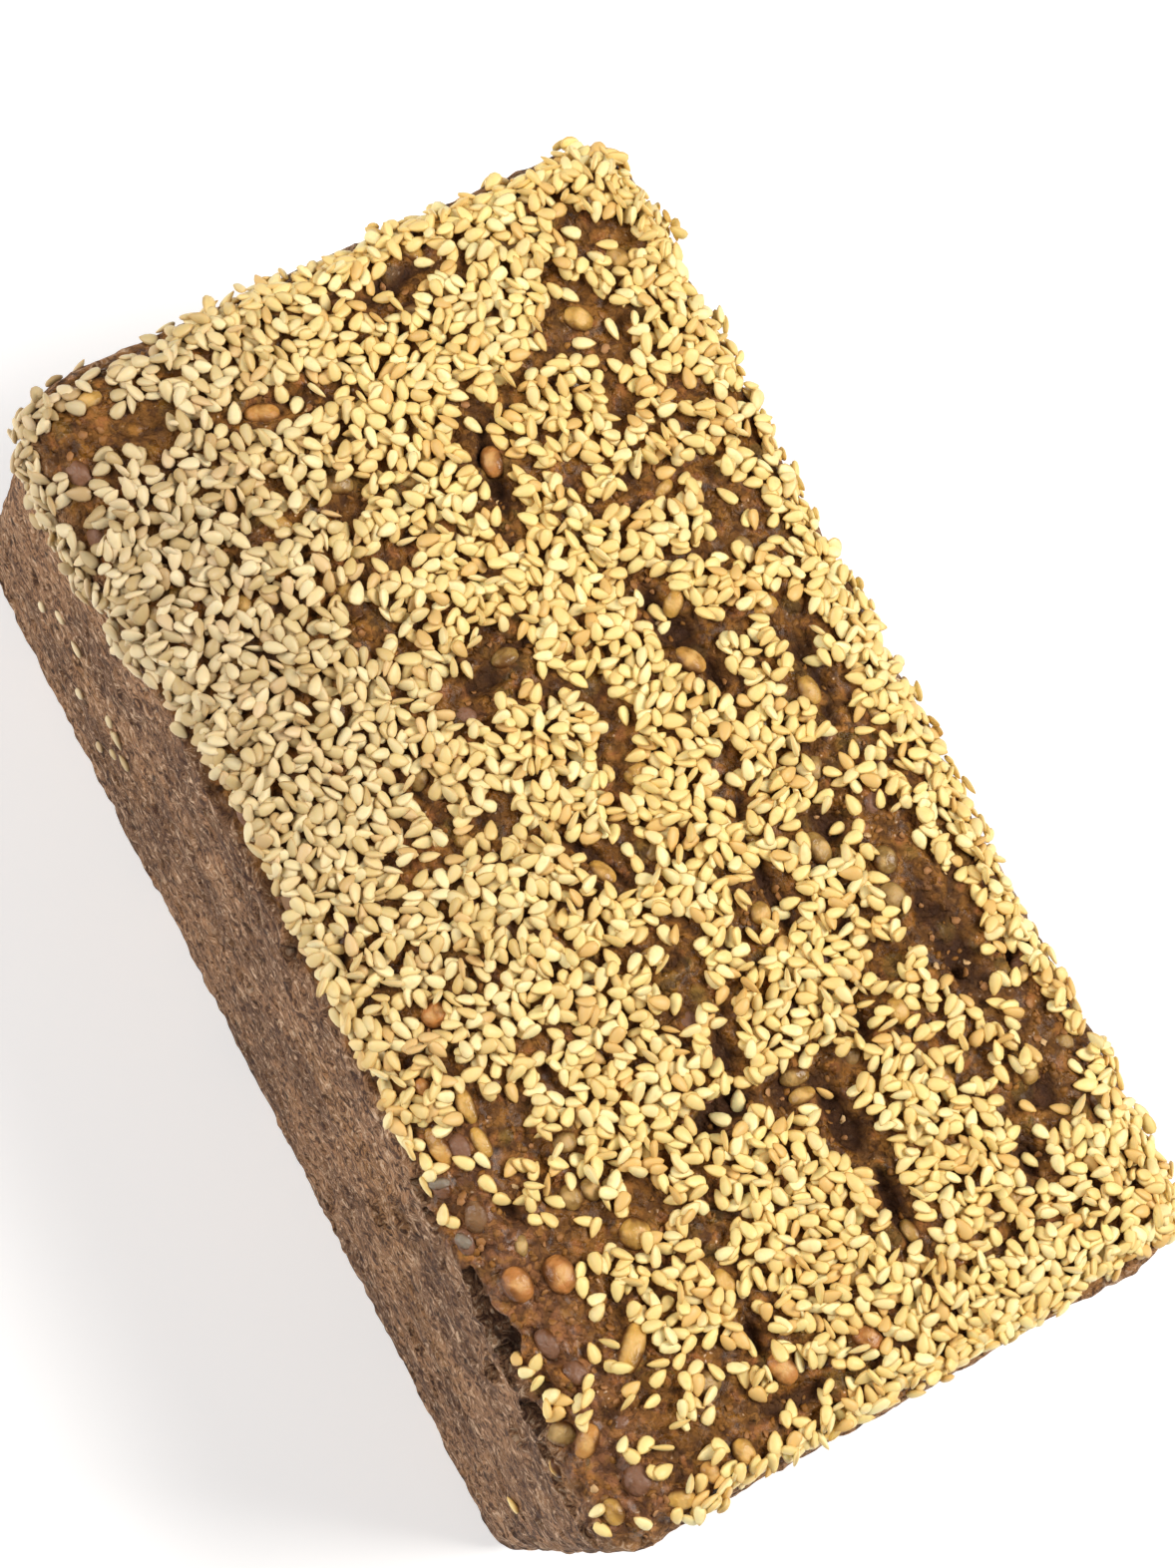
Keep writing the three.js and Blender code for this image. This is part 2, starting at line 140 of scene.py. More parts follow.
# Stray seeds stuck to the front wall: x, height, turn in degrees.
STRAYS = (
    (-73.5, 33.5, 80), (-69.5, 41.5, 40), (-63.5, 43.5, 20), (-59.5, 28, 70), (-51.5, 39.5, 100),
    (-49.2, 38.2, 30), (-48.2, 40.6, 150), (-48.5, 28.5, 60), (-51.5, 20.5, 85), (-45.5, 35.5, 20),
    (84, 36, 30),
)

# How many places are tried: for grains in all, for those on the front shoulder, for bits and for each seed.
GRAIN_TRIES = 600
SHOULDER_TRIES = 90
BIT_TRIES = 1500
TRIES_PER_SEED = 4.6

# Where the random draws start.
FIRST_DRAW = 11


def srgb(red, green, blue):
    """A colour given from 0 to 255, as a screen shows it, in linear light."""

    def linear(level):
        share = level / 255
        if share <= 0.04045:
            return share / 12.92
        return ((share + 0.055) / 1.055) ** 2.4

    return linear(red), linear(green), linear(blue)


def measure(name, description, millimetres):
    """A length that can be set, given in millimetres."""
    return FloatProperty(
        name=name,
        description=description,
        default=millimetres * MM,
        min=0,
        subtype="DISTANCE",
        unit="LENGTH",
    )


def paint(name, description, colour):
    """A colour that can be set, given from 0 to 255."""
    return FloatVectorProperty(
        name=name,
        description=description,
        default=srgb(*colour),
        min=0,
        max=1,
        subtype="COLOR",
    )


class LoafSizes(bpy.types.PropertyGroup):
    """The loaf's form."""

    length: measure("Length", "Length along the top", 189.5)
    width: measure("Width", "Width across the top", 102.6)
    rim_height: measure("Rim height", "Height of the rim of the top", 85)
    crown: measure("Crown", "How far the middle of the top stands over its rim", 2)
    draft: measure("Draft", "How far each wall leans in towards the base", 1.8)
    bulge: measure("Bulge", "How far the long walls swell at mid length", 1)
    far_front: measure("Far front corner", "Its rounding, seen from above", 10)
    near_front: measure("Near front corner", "Its rounding, seen from above", 6)
    far_back: measure("Far back corner", "Its rounding, seen from above", 10)
    near_back: measure("Near back corner", "Its rounding, seen from above", 12)
    base_shown: measure("Base front and near", "Its rounding there, seen from above", 7)
    base_hidden: measure("Base back and far", "Its rounding there, seen from above", 12)
    rim_drop: measure("Rim drop", "Height of the rounding under the rim", 7)
    base_rise: measure("Base rise", "Height of the rounding over the base", 6)
    cell: measure("Crust cell", "Spacing of the crust mesh", 0.64)


class CrustColours(bpy.types.PropertyGroup):
    """The colours of the baked crust."""

    wall: paint("Wall", "Baked wall", (188, 138, 96))
    wall_dark: paint("Dark wall", "Darker grains and mottling of the wall", (70, 38, 22))
    wall_fleck: paint("Wall fleck", "Pale grains in the wall", (240, 204, 168))
    wall_warm: paint("Warm wall", "Redder stretches of the wall", (188, 134, 80))
    top: paint("Top", "Bare top crust", (134, 86, 29))
    top_grain: paint("Top grain", "Lighter grains in the bare top", (160, 110, 48))
    top_olive: paint("Olive", "Olive tint of some lumps", (126, 94, 38))
    top_grey: paint("Grey", "Greyish purple tint of some lumps", (104, 68, 44))
    top_film: paint("Film", "Purplish film over the front shoulder", (152, 100, 66))
    top_ruddy: paint("Ruddy", "Reddish grains swollen under the skin", (160, 100, 52))
    top_amber: paint("Amber", "Glassy amber lumps", (178, 116, 52))
    # Painted shade: the dark put deep in the crust's cracks, pits, torn holes and creases.
    hollow: paint("Hollow", "Deep in the cracks and pits", (52, 25, 5))


class SesameSettings(bpy.types.PropertyGroup):
    """The sesame seeds."""

    count: IntProperty(name="Seeds", description="Most seeds laid on the top", default=5700, min=1)
    length: measure("Length", "Length of a seed", 3.35)
    width: measure("Width", "Width of a seed", 2.15)
    thickness: measure("Thickness", "Thickness of a seed", 1.0)
    pale: paint("Pale", "Palest seeds", (248, 232, 170))
    golden: paint("Golden", "Most seeds", (243, 220, 146))
    honey: paint("Honey", "Warmer seeds", (240, 212, 138))
    toasted: paint("Toasted", "Brownest seeds", (224, 184, 112))
    # Browner tip of a seed, and painted shade along its thin rim.
    edge: paint("Edge", "Thin rim and tip of a seed", (204, 156, 74))
    # Painted shade over the seeds at the far front: the palest and the dullest tints there.
    cool: paint("Cool", "Palest seeds at the far front", (212, 194, 164))
    dull: paint("Dull", "Dullest seeds at the far front", (160, 136, 104))


class GrainColours(bpy.types.PropertyGroup):
    """The whole grains and bran flakes."""

    amber: paint("Amber", "Amber grains", (188, 124, 64))
    golden: paint("Golden", "Golden grains", (204, 158, 76))
    olive: paint("Olive", "Olive grains", (150, 118, 64))
    grey: paint("Grey", "Greyish purple grains", (130, 92, 68))
    # Milky middle of an amber grain, lightest on its crown as a painted highlight.
    heart: paint("Heart", "Milky middle of an amber grain", (230, 190, 122))
    ash: paint("Ash", "Pale grey grains", (130, 116, 98))
    # Crust creeping up a grain's sides, which also darkens the sides as painted shade.
    glaze: paint("Glaze", "Crust that creeps up a grain's sides", (94, 56, 26))
    bran: paint("Bran", "Bran flakes", (172, 122, 78))


class StageSettings(bpy.types.PropertyGroup):
    """The floor and the lights."""

    floor: paint("Floor", "Plain pale floor", (240, 240, 240))
    sky: paint("Surroundings", "Light from all round", (236, 242, 255))
    sky_strength: FloatProperty(name="Surroundings", description="Strength of that light", default=0.2, min=0)
    key: FloatProperty(name="Key light", description="Power of the main light, in watts", default=20, min=0)
    fill: FloatProperty(name="Fill light", description="Power of the fill light, in watts", default=13, min=0)


class LoafSettings(bpy.types.PropertyGroup):
    """Everything a user can change."""

    sizes: PointerProperty(type=LoafSizes)
    crust: PointerProperty(type=CrustColours)
    sesame: PointerProperty(type=SesameSettings)
    grains: PointerProperty(type=GrainColours)
    stage: PointerProperty(type=StageSettings)


# Repeatable noise, in millimetres.


def hashed(cells, salt):
    """A repeatable number from 0 to 1 for each whole-numbered cell."""
    mixed = cells[..., 0] * 73856093 ^ cells[..., 1] * 19349663 ^ cells[..., 2] * 83492791
    mixed = (mixed ^ (salt * 2654435761)) & 0xFFFFFFFF
    mixed = ((mixed ^ (mixed >> 15)) * 2246822519) & 0xFFFFFFFF
    mixed = ((mixed ^ (mixed >> 13)) * 3266489917) & 0xFFFFFFFF
    return ((mixed ^ (mixed >> 16)) & 0xFFFFFF) / 0x1000000


def noise(places, size, salt):
    """Smooth noise from -1 to 1 whose features are about that size."""
    scaled = places / size
    cell = np.floor(scaled).astype(np.int64)
    part = scaled - cell
    part = part * part * (3 - 2 * part)
    total = np.zeros(len(places))
    for corner in product((0, 1), repeat=3):
        weight = np.prod(np.where(corner, part, 1 - part), axis=1)
        total += weight * hashed(cell + np.array(corner), salt)
    return 2 * total - 1


def layered(places, size, layers, salt):
    """Noise with finer and weaker layers added."""
    total = sum(noise(places, size / 2**i, salt + i) / 2**i for i in range(layers))
    return total / sum(1 / 2**i for i in range(layers))


def nearest_spot(places, size, salt):
    """How far the nearest of scattered spots is, and that spot's own number."""
    scaled = places / size
    cell = np.floor(scaled).astype(np.int64)
    near = np.full(len(places), 9.0)
    mark = np.zeros(len(places))
    for offset in product((-1, 0, 1), repeat=3):
        there = cell + np.array(offset)
        shift = np.stack([hashed(there, salt + axis) for axis in range(3)], 1)
        away = np.linalg.norm(scaled - there - 0.1 - 0.8 * shift, axis=1)
        closer = away < near
        mark = np.where(closer, hashed(there, salt + 3), mark)
        near = np.minimum(near, away)
    return near * size, mark


def ramp(low, high, value):
    """0 below low, 1 above high, and smooth between them. It falls where high is under low."""
    share = np.clip((value - low) / (high - low), 0, 1)
    return share * share * (3 - 2 * share)


def ellipse_share(x, y, spot):
    """How far from an ellipse's middle a place is: 1 is on its rim."""
    middle_x, middle_y, half_length, half_width, degrees = spot
    turn = math.radians(degrees)
    dx = x - middle_x
    dy = y - middle_y
    along = (dx * math.cos(turn) + dy * math.sin(turn)) / half_length
    across = (dy * math.cos(turn) - dx * math.sin(turn)) / half_width
    return np.hypot(along, across)


# The loaf's form, in millimetres.

Sizes = namedtuple("Sizes", list(LoafSizes.__annotations__))


def sizes_of(context):
    settings = context.scene.rye_loaf.sizes
    return Sizes(*(round(getattr(settings, name) / MM, 4) for name in Sizes._fields))


def reach_at(box, sizes):
    """Sizes of the rounding along X and Y at each place: each corner's own above, and the base's below."""
    near = np.clip(0.5 + 1.6 * box[:, 0] / sizes.length, 0, 1)
    back = np.clip(0.5 + 1.6 * box[:, 1] / sizes.width, 0, 1)
    front_reach = sizes.far_front * (1 - near) + sizes.near_front * near
    back_reach = sizes.far_back * (1 - near) + sizes.near_back * near
    corner = front_reach * (1 - back) + back_reach * back
    up = ramp(0, sizes.rim_height / 2, box[:, 2])
    along = np.where(box[:, 0] < 0, sizes.base_hidden, sizes.base_shown)
    across = np.where(box[:, 1] < 0, sizes.base_shown, sizes.base_hidden)
    return np.stack([along * (1 - up) + corner * up, across * (1 - up) + corner * up], 1)


def shape_loaf(box, sizes):
    """Moves points of the sharp-edged box onto the smooth loaf: rounded, drafted, swollen and crowned."""
    half = np.array([sizes.length, sizes.width]) / 2
    drop = np.where(box[:, 2] > sizes.rim_height / 2, sizes.rim_drop, sizes.base_rise)
    reach = np.column_stack([reach_at(box, sizes), drop])
    limit = half - reach[:, :2]
    inner = np.empty_like(box)
    inner[:, :2] = np.clip(box[:, :2], -limit, limit)
    inner[:, 2] = np.clip(box[:, 2], sizes.base_rise, sizes.rim_height - sizes.rim_drop)
    out = (box - inner) / reach
    placed = inner + out / np.linalg.norm(out, axis=1, keepdims=True) * reach

    level = placed[:, 2] / sizes.rim_height
    along = placed[:, 0] / half[0]
    across = placed[:, 1] / half[1]
    bulge = sizes.bulge * (1 - along**2) * np.sin(math.pi * np.minimum(level, 1))
    x = placed[:, 0] * (1 - sizes.draft / half[0] * (1 - level))
    y = placed[:, 1] * (1 - sizes.draft / half[1] * (1 - level) + bulge / half[1])
    swell = np.zeros(len(box))
    for wave, heading, phase, height in SWELLS:
        turn = math.radians(heading)
        distance = x * math.cos(turn) + y * math.sin(turn)
        swell += height * np.sin(2 * math.pi * distance / wave + math.radians(phase))
    dome = sizes.crown * (1 - along**4) * (1 - across**2)
    z = placed[:, 2] + ramp(0.75, 1, level) * (dome + swell)
    return np.stack([x, y, z], 1)


def fold(u, v, sizes):
    """Points of the sharp-edged box for places on the unfolded top, which runs on down the walls."""
    half = (sizes.length / 2, sizes.width / 2)
    past = np.maximum(np.abs(u) - half[0], np.abs(v) - half[1])
    z = sizes.rim_height - np.maximum(past, 0)
    return np.stack([np.clip(u, -half[0], half[0]), np.clip(v, -half[1], half[1]), z], 1)


def top_relief(places):
    """The bare top's height, with lumps, crevices and cracks, how much is lump, and the lump's own number."""
    x, y = places[:, 0], places[:, 1]
    near, mark = nearest_spot(places, 4.3, 11)
    lump = np.clip(1 - (near / 2.5) ** 2, 0, 1) * (0.25 + 0.75 * mark)
    small_near, small_mark = nearest_spot(places, 2.1, 31)
    small = np.clip(1 - (small_near / 1.15) ** 2, 0, 1) * (0.3 + 0.7 * small_mark)
    height = 0.95 * lump + 0.62 * small - 0.75
    height += 0.5 * layered(places, 15, 2, 14) + 0.24 * layered(places, 1.5, 2, 17)
    crevice = np.clip(1 - np.abs(noise(places, 7, 19)) / 0.13, 0, 1)
    height -= 0.9 * crevice * ramp(-0.1, 0.4, noise(places, 13, 20))
    wobble = 0.45 * layered(places, 3.5, 2, 23)
    for *spot, depth in CRACKS:
        share = ellipse_share(x, y, spot) + wobble
        height -= depth * ramp(1.25, 0.5, share)
    shoulder = ramp(20, 32, x) * ramp(-40, -46, y)
    height += shoulder * (0.9 * layered(places, 4.5, 2, 27) - 0.1)
    for grain_x, grain_y, length, width, turn, _ in GRAINS:
        share = ellipse_share(x, y, (grain_x, grain_y, length / 2, width / 2, turn))
        height += 0.4 * ramp(1.9, 0.9, share)
    return height, lump, mark


def wall_relief(places):
    """The walls' grain and pits: their height and how deep a place lies in a pit."""
    height = 0.4 * layered(places, 22, 2, 41) + 0.4 * layered(places, 3.2, 2, 43)
    height += 0.3 * noise(places, 1.6, 45)
    near, mark = nearest_spot(places, 3.4, 47)
    size = 0.5 + 1.1 * mark**3
    pit = np.clip(1 - (near / size) ** 2, 0, 1) * ramp(0.2, 0.7, mark)
    return height - 0.85 * pit, 0.8 * pit


def tear_depth(places):
    """How deep each place lies in a torn hole of the front wall, and how far the lips round it stand."""
    wobble = 0.5 * layered(places, 3.2, 3, 53)
    tear = np.zeros(len(places))
    flap = np.zeros(len(places))
    for *spot, depth in TEARS:
        share = ellipse_share(places[:, 0], places[:, 2], spot) + wobble
        tear = np.maximum(tear, depth * ramp(1.1, 0.8, share))
        flap = np.maximum(flap, ramp(1.8, 1.2, share))
    front = ramp(-40, -44, places[:, 1])
    return tear * front, 0.6 * flap * front


Crust = namedtuple("Crust", "height top hollow lump mark")


def crust_relief(places, normals):
    """How far the fine crust stands out from the smooth loaf, with what its colours are made from."""
    ragged = layered(places, 5, 3, 61)
    top = ramp(0.3, 0.6, normals[:, 2] + 0.22 * ragged)
    upper, lump, mark = top_relief(places)
    side, pit = wall_relief(places)
    under = ramp(-0.6, -0.9, normals[:, 2])
    side = side * (1 - under) - 0.12 * under * (1 + noise(places, 2.2, 67))
    lip = ramp(0.3, 0, np.abs(normals[:, 2] - 0.42))
    lip = lip * ramp(12, 28, places[:, 0]) * ramp(-40, -46, places[:, 1])
    tear, flap = tear_depth(places)
    torn = np.abs(noise(places, 2.6, 63)) + np.abs(noise(places, 1.4, 64)) - 0.6
    height = top * upper + (1 - top) * side + lip * (0.4 + 0.9 * ragged + 0.7 * torn) + flap - 1.2 * tear
    # Painted shade: how deep each place lies in a crack, a pit or a torn hole, which darkens the crust there.
    hollow = np.maximum(top * ramp(-0.45, -2.0, upper) + (1 - top) * pit, ramp(0.3, 1.6, tear))
    return Crust(height, top, hollow, top * lump, mark)


class Ground:
    """The top and the upper walls unfolded flat, with the height of whatever lies on them."""

    # The spacing of its cells, and how far it runs down the walls and down the front one.
    STEP = 0.35
    DOWN = 12
    DOWN_FRONT = 26

    def __init__(self, sizes):
        self.u = np.arange(-sizes.length / 2 - self.DOWN, sizes.length / 2 + self.DOWN, self.STEP)
        self.v = np.arange(-sizes.width / 2 - self.DOWN_FRONT, sizes.width / 2 + self.DOWN, self.STEP)
        v, u = np.meshgrid(self.v, self.u, indexing="ij")
        shape = (*u.shape, 3)
        places = shape_loaf(fold(u.ravel(), v.ravel(), sizes), sizes)
        self.place = places.reshape(shape)
        down, along = np.gradient(self.place, axis=(0, 1))
        normal = np.cross(along, down)
        normal /= np.maximum(np.linalg.norm(normal, axis=2, keepdims=True), 1e-9)
        self.normal = normal
        self.along = along / np.maximum(np.linalg.norm(along, axis=2, keepdims=True), 1e-9)
        self.solid = np.linalg.norm(np.cross(along, down), axis=2) > 0.01
        crust = crust_relief(places, normal.reshape(-1, 3))
        self.bare = crust.height.reshape(u.shape)
        self.height = self.bare.copy()

    def window(self, u, v, size):
        """The rows and columns within a distance of a place, and each cell's offset from it."""
        row = int(round((v - self.v[0]) / self.STEP))
        column = int(round((u - self.u[0]) / self.STEP))
        span = int(size / self.STEP) + 1
        rows = slice(max(row - span, 0), row + span + 1)
        columns = slice(max(column - span, 0), column + span + 1)
        dv, du = np.meshgrid(self.v[rows] - v, self.u[columns] - u, indexing="ij")
        return row, column, rows, columns, du, dv

    def lay(self, u, v, turn, size, sunk, lean=(0, 0), roll=0.0, most=9.0):
        """Rests a flat ellipsoid on what lies there. Gives its middle and axes, or None if too high."""
        length, width, thickness = size
        wide = math.hypot(width * math.cos(roll), thickness * math.sin(roll))
        tall = math.hypot(width * math.sin(roll), thickness * math.cos(roll))
        row, column, rows, columns, du, dv = self.window(u, v, length / 2)
        along = du * math.cos(turn) + dv * math.sin(turn)
        across = dv * math.cos(turn) - du * math.sin(turn)
        share = (2 * along / length) ** 2 + (2 * across / wide) ** 2
        under = share < 0.8
        heights = self.height[rows, columns]
        if not (under.any() and self.solid[row, column]):
            return None
        if (heights[under] - self.bare[rows, columns][under]).mean() > most:
            return None
        spread = np.stack([along[under], across[under], np.ones(under.sum())], 1)
        slope_along, slope_across, _ = np.linalg.lstsq(spread, heights[under], rcond=None)[0]
        slope_along = np.clip(slope_along, -0.5, 0.5) + lean[0]
        slope_across = np.clip(slope_across, -0.55, 0.55) + lean[1]
        tilted = slope_along * along + slope_across * across
        level = np.percentile(heights[under] - tilted[under], 70) - sunk
        top = level + tilted + tall * (0.5 + 0.5 * np.sqrt(np.clip(1 - share, 0, 1)))
        self.height[rows, columns] = np.where(share < 1, np.maximum(heights, top), heights)

        normal = self.normal[row, column]
        side = self.along[row, column]
        other = np.cross(normal, side)
        forward = side * math.cos(turn) + other * math.sin(turn)
        sideways = other * math.cos(turn) - side * math.sin(turn)
        up = normal - slope_along * forward - slope_across * sideways
        up /= np.linalg.norm(up)
        forward -= up * forward.dot(up)
        forward /= np.linalg.norm(forward)
        sideways = np.cross(up, forward)
        middle = self.place[row, column] + normal * (level + tall / 2)
        middle = middle + side * (u - self.u[column]) + other * (v - self.v[row])
        rolled = sideways * math.cos(roll) + up * math.sin(roll)
        return middle, np.stack([forward, rolled, np.cross(forward, rolled)])


Laid = namedtuple("Laid", "middle axes size tone place")


def seed_cover(u, v, sizes, wobble):
    """How thickly the seeds cover a place of the unfolded top, from 0 to 1."""
    past_x = np.abs(u) - sizes.length / 2
    past_y = np.abs(v) - sizes.width / 2
    spill = 1.2 + 2.0 * ramp(-20, -45, u) + 7.5 * ramp(-40, -58, u) + 10 * ramp(-60, -70, u)
    spill = np.where(v < 0, spill, 4.0)
    ragged = np.where(v < 0, 2.5, 5) * wobble
    cover = ramp(1.5, -1.5, past_y - spill + ragged)
    end_spill = np.where(u > 0, 2.8, 3.5) * ramp(-34, -8, v)
    cover = cover * ramp(1.5, -1.5, past_x - end_spill + np.where(u > 0, 2, 4) * wobble)
    cover = cover * ramp(11, 7, np.hypot(np.maximum(past_x + 4, 0), np.maximum(past_y + 4 - spill / 2, 0)))
    for *spot, left in BARE:
        share = ellipse_share(u, v, spot) + 0.3 * wobble
        cover = cover * (left + (1 - left) * ramp(0.85, 1.3, share))
    hidden = np.maximum(np.where(v > 0, past_y, 0), np.where(u < 0, past_x, 0))
    return np.maximum(cover, 0.035 * ramp(0, 1, hidden))


Toppings = namedtuple("Toppings", "grains seeds flakes crumbs")


def lay_grains(ground, draw, sizes):
    """The whole grains that show, then more of them, mostly in the bare stretches."""
    grains = []
    for x, y, length, width, turn, tint in GRAINS:
        size = (length, width, width * 0.85)
        sunk = width * (0.64 if tint > 0.7 else 0.46)
        laid = ground.lay(x, y, math.radians(turn), size, sunk)
        grains.append(Laid(*laid, size, tint, (x, y)))
    for number in range(GRAIN_TRIES):
        if number < SHOULDER_TRIES:
            x = draw.uniform(24, sizes.length / 2 - 3)
            y = -draw.uniform(sizes.width / 2 - 10, sizes.width / 2 + 1.5)
            apart = 5.4
        else:
            x = draw.uniform(-0.48, 0.48) * sizes.length
            y = draw.uniform(-0.48, 0.48) * sizes.width
            apart = 9
        length = draw.uniform(3.2, 5.2)
        size = (length, length * draw.uniform(0.62, 0.85), length * 0.55)
        turn = draw.uniform(0, 2 * math.pi)
        tint = 1.0 if draw.random() < 0.12 else draw.uniform(0.3, 0.7)
        if any(math.dist((x, y), grain.place) < apart for grain in grains):
            continue
        sunk = size[2] * (0.85 if tint == 1.0 else 0.7)
        laid = ground.lay(x, y, turn, size, sunk)
        if laid is not None:
            grains.append(Laid(*laid, size, tint, (x, y)))
    return grains


def lay_seeds(ground, draw, sizes, seed_size, seed_count, grains):
    """The seeds, one by one, on whatever lies there: heaped where thick, and flat where thin."""
    tries = round(seed_count * TRIES_PER_SEED)
    u = draw.uniform(ground.u[8], ground.u[-8], tries)
    v = draw.uniform(ground.v[8], ground.v[-8], tries)
    flat = np.stack([u, v, np.zeros(tries)], 1)
    cover = seed_cover(u, v, sizes, layered(flat, 5, 2, 71))
    patchy = 0.08 + 0.92 * ramp(-0.42, -0.16, layered(flat, 6, 2, 75))
    patchy = patchy * (0.6 + 0.4 * ramp(-0.3, 0.1, layered(flat, 19, 2, 77)))
    for spot in THICK:
        patchy = np.maximum(patchy, ramp(1.2, 0.8, ellipse_share(u, v, spot)))
    cover = cover * patchy
    seeds = []
    for i in np.flatnonzero(draw.random(tries) < cover):
        if len(seeds) >= seed_count:
            break
        if any(math.dist((u[i], v[i]), grain.place) < 0.42 * grain.size[0] for grain in grains):
            continue
        scale = draw.normal(1, 0.05)
        stretch = draw.normal(1, 0.05, 2)
        size = (seed_size[0] * scale * stretch[0], seed_size[1] * scale * stretch[1], seed_size[2] * scale)
        turn = draw.uniform(0, 2 * math.pi)
        lean = draw.normal(0, 0.13, 2)
        on_edge = draw.random() < 0.16
        roll = draw.uniform(0.5, 1.5) if on_edge else draw.normal(0, 0.15)
        highest = 1.2 if cover[i] > 0.5 else 0.5
        laid = ground.lay(u[i], v[i], turn, size, 0.1, lean, roll, highest)
        if laid is not None:
            seeds.append(Laid(*laid, size, draw.random(), (u[i], v[i])))
    return seeds


def lay_bits(ground, draw, sizes, smallest, largest, flat, grains):
    """Small bits, most of them on the bare stretches, and none on the grains."""
    places = draw.uniform(-0.51, 0.51, (BIT_TRIES, 2)) * (sizes.length, sizes.width)
    cover = seed_cover(places[:, 0], places[:, 1], sizes, np.zeros(BIT_TRIES))
    bits = []
    for x, y in places[draw.random(BIT_TRIES) > 0.2 + 0.8 * cover]:
        length = draw.uniform(smallest, largest)
        width = length * draw.uniform(0.55, 0.95)
        size = (length, width, 0.16 if flat else width * 0.8)
        lean = draw.normal(0, 0.22, 2)
        if any(math.dist((x, y), grain.place) < 0.5 * grain.size[0] for grain in grains):
            continue
        sunk = 0.02 if flat else size[2] * 0.58
        laid = ground.lay(x, y, draw.uniform(0, 2 * math.pi), size, sunk, lean)
        if laid is not None:
            bits.append(Laid(*laid, size, draw.random(), (x, y)))
    return bits


@lru_cache(maxsize=1)
def lay_toppings(sizes, seed_size, seed_count):
    """Lays the whole grains, the crumbs and bran flakes, and then the seeds, each on what is there."""
    ground = Ground(sizes)
    draw = np.random.default_rng(FIRST_DRAW)
    grains = lay_grains(ground, draw, sizes)
    crumbs = lay_bits(ground, draw, sizes, 0.6, 1.6, False, grains)
    flakes = lay_bits(ground, draw, sizes, 0.8, 2.0, True, grains)
    seeds = lay_seeds(ground, draw, sizes, seed_size, seed_count, grains[: len(GRAINS)])
    return Toppings(grains, seeds, flakes, crumbs)


# Meshes.


def box_lattice(counts):
    """The surface of a lattice of cells: its points' whole-numbered places, and its outward quads."""
    places = []
    quads = []
    for axis in range(3):
        first, second = (axis + 1) % 3, (axis + 2) % 3
        i, j = np.meshgrid(np.arange(counts[first] + 1), np.arange(counts[second] + 1), indexing="ij")
        for end in (0, counts[axis]):
            sheet = np.zeros((*i.shape, 3), int)
            sheet[..., first] = i
            sheet[..., second] = j
            sheet[..., axis] = end
            base = sum(len(p) for p in places)
            index = base + np.arange(i.size).reshape(i.shape)
            loop = [index[:-1, :-1], index[1:, :-1], index[1:, 1:], index[:-1, 1:]]
            if end == 0:
                loop.reverse()
            places.append(sheet.reshape(-1, 3))
            quads.append(np.stack([corner.ravel() for corner in loop], 1))
    places = np.concatenate(places)
    quads = np.concatenate(quads)
    places, index = np.unique(places, axis=0, return_inverse=True)
    return places, index.ravel()[quads]


def normals_of(points, quads):
    """Each point's outward normal."""
    diagonal = points[quads[:, 2]] - points[quads[:, 0]]
    faces = np.cross(diagonal, points[quads[:, 3]] - points[quads[:, 1]])
    normals = np.zeros_like(points)
    for corner in range(4):
        np.add.at(normals, quads[:, corner], faces)
    return normals / np.linalg.norm(normals, axis=1, keepdims=True)


def add_object(name, data):
    """A new object in the scene."""
    made = bpy.data.objects.new(name, data)
    bpy.context.scene.collection.objects.link(made)
    return made


def make_piece(name, points, faces, attributes, material):
    """A smooth mesh piece from points in millimetres, riding on the loaf."""
    mesh = bpy.data.meshes.new(name)
    mesh.from_pydata((points * MM).tolist(), [], faces)
    mesh.shade_smooth()
    for label, values in attributes.items():
        layer = mesh.attributes.new(label, "FLOAT", "POINT")
        layer.data.foreach_set("value", np.asarray(values, np.float32))
    mesh.materials.append(material)
    piece = add_object(name, mesh)
    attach(piece, BODY)
    return piece


Form = namedtuple("Form", "points faces rise")


def turned_form(sides, rings, radius):
    """A closed unit body around X whose half width follows a curve, with each point's rise from -1 to 1."""
    points = [(-0.5, 0, 0)]
    rise = [0.0]
    for ring in range(1, rings + 1):
        along = (1 - math.cos(math.pi * ring / (rings + 1))) / 2
        for side in range(sides):
            turn = 2 * math.pi * side / sides
            points.append((along - 0.5, radius(along) * math.cos(turn), radius(along) * math.sin(turn)))
            rise.append(math.sin(turn))
    points.append((0.5, 0, 0))
    rise.append(0.0)
    faces = []
    for side in range(sides):
        follow = (side + 1) % sides
        faces.append((0, 1 + follow, 1 + side))
        for ring in range(rings - 1):
            low = 1 + ring * sides
            faces.append((low + side, low + follow, low + sides + follow, low + sides + side))
        last = 1 + (rings - 1) * sides
        faces.append((last + side, last + follow, len(points) - 1))
    return Form(np.array(points), faces, np.array(rise))


def seed_form(fullness, bend):
    """A sesame seed: blunt at one end, tapering at the other, and slightly bent."""
    form = turned_form(8, 5, lambda along: 1.04 * fullness * along**0.75 * (1 - along) ** 0.42)
    x = form.points[:, 0]
    form.points[:, 1] += bend * (0.25 - x * x)
    return form


def grain_form():
    """A swollen grain, rounded at both ends, with a shallow groove along its top."""
    form = turned_form(16, 9, lambda along: 0.5 * (4 * along * (1 - along)) ** 0.42)
    y, z = form.points[:, 1], form.points[:, 2]
    form.points[:, 2] -= 0.08 * np.exp(-((y / 0.14) ** 2)) * (z > 0)
    return form


def crumb_form(number):
    """An uneven lump."""
    form = turned_form(6, 3, lambda along: 0.5 * (4 * along * (1 - along)) ** 0.5)
    form.points[:] *= np.random.default_rng(50 + number).uniform(0.7, 1.15, (len(form.points), 1))
    return form


